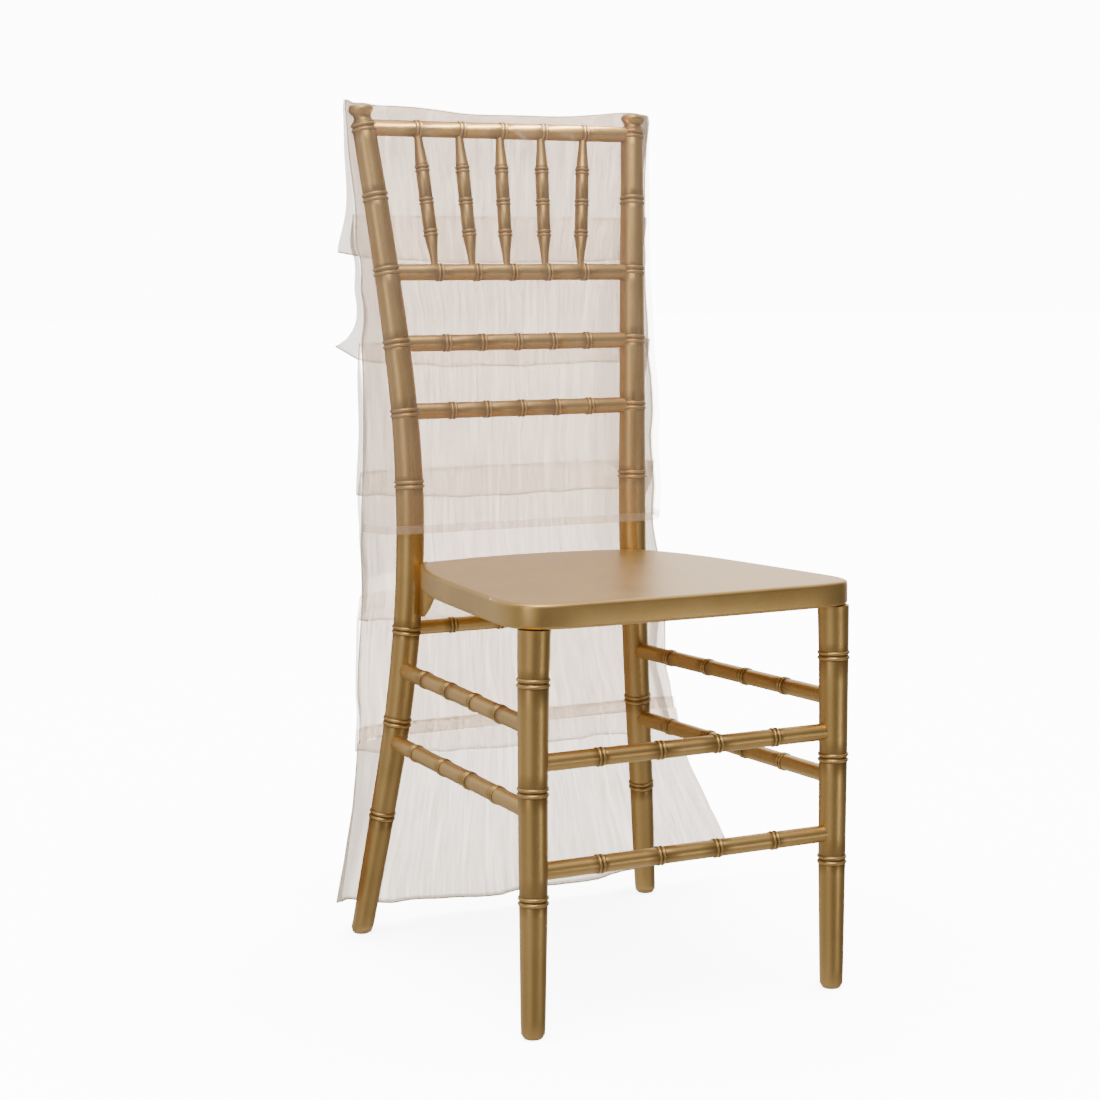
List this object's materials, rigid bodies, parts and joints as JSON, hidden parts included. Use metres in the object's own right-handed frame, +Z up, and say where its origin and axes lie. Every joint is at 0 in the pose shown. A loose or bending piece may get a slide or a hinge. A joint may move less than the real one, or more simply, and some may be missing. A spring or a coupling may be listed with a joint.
{
  "type": "tiered slip-over chair cover on a bamboo-turned banquet chair",
  "caption": "Sheer crinkled slip-over chair cover with overlapping tiers down its back, hung on the back of a turned banquet chair that stands on its own legs.",
  "frame": {"origin": "on the floor, under the middle of the whole part's box", "axes": "+Z up; the chair faces -Y, so its back and the cover are towards +Y; +X is to the right seen from the front of the chair looking along +Y"},
  "size_m": [0.5184, 0.4759, 0.9189],
  "materials": {
    "gold_paint": "satin gold paint over turned wood",
    "ivory_crinkle_chiffon": "sheer, finely crinkled, matte"
  },
  "bodies": {
    "root": {"seat": "gold_paint", "front_leg_left": "gold_paint", "front_leg_right": "gold_paint", "rear_post_left": "gold_paint", "rear_post_right": "gold_paint", "top_rail": "gold_paint", "second_rail": "gold_paint", "third_rail": "gold_paint", "fourth_rail": "gold_paint", "spindle_1": "gold_paint", "spindle_2": "gold_paint", "spindle_3": "gold_paint", "spindle_4": "gold_paint", "spindle_5": "gold_paint", "front_rung_upper": "gold_paint", "front_rung_lower": "gold_paint", "side_rung_upper_left": "gold_paint", "side_rung_upper_right": "gold_paint", "side_rung_lower_left": "gold_paint", "side_rung_lower_right": "gold_paint", "rear_rung": "gold_paint", "seat_bracket_left": "gold_paint", "seat_bracket_right": "gold_paint", "front_panel": "ivory_crinkle_chiffon", "back_panel": "ivory_crinkle_chiffon", "tier_1": "ivory_crinkle_chiffon", "tier_2": "ivory_crinkle_chiffon", "tier_3": "ivory_crinkle_chiffon", "tier_4": "ivory_crinkle_chiffon", "tier_5": "ivory_crinkle_chiffon", "tier_6": "ivory_crinkle_chiffon"}
  },
  "joints": []
}
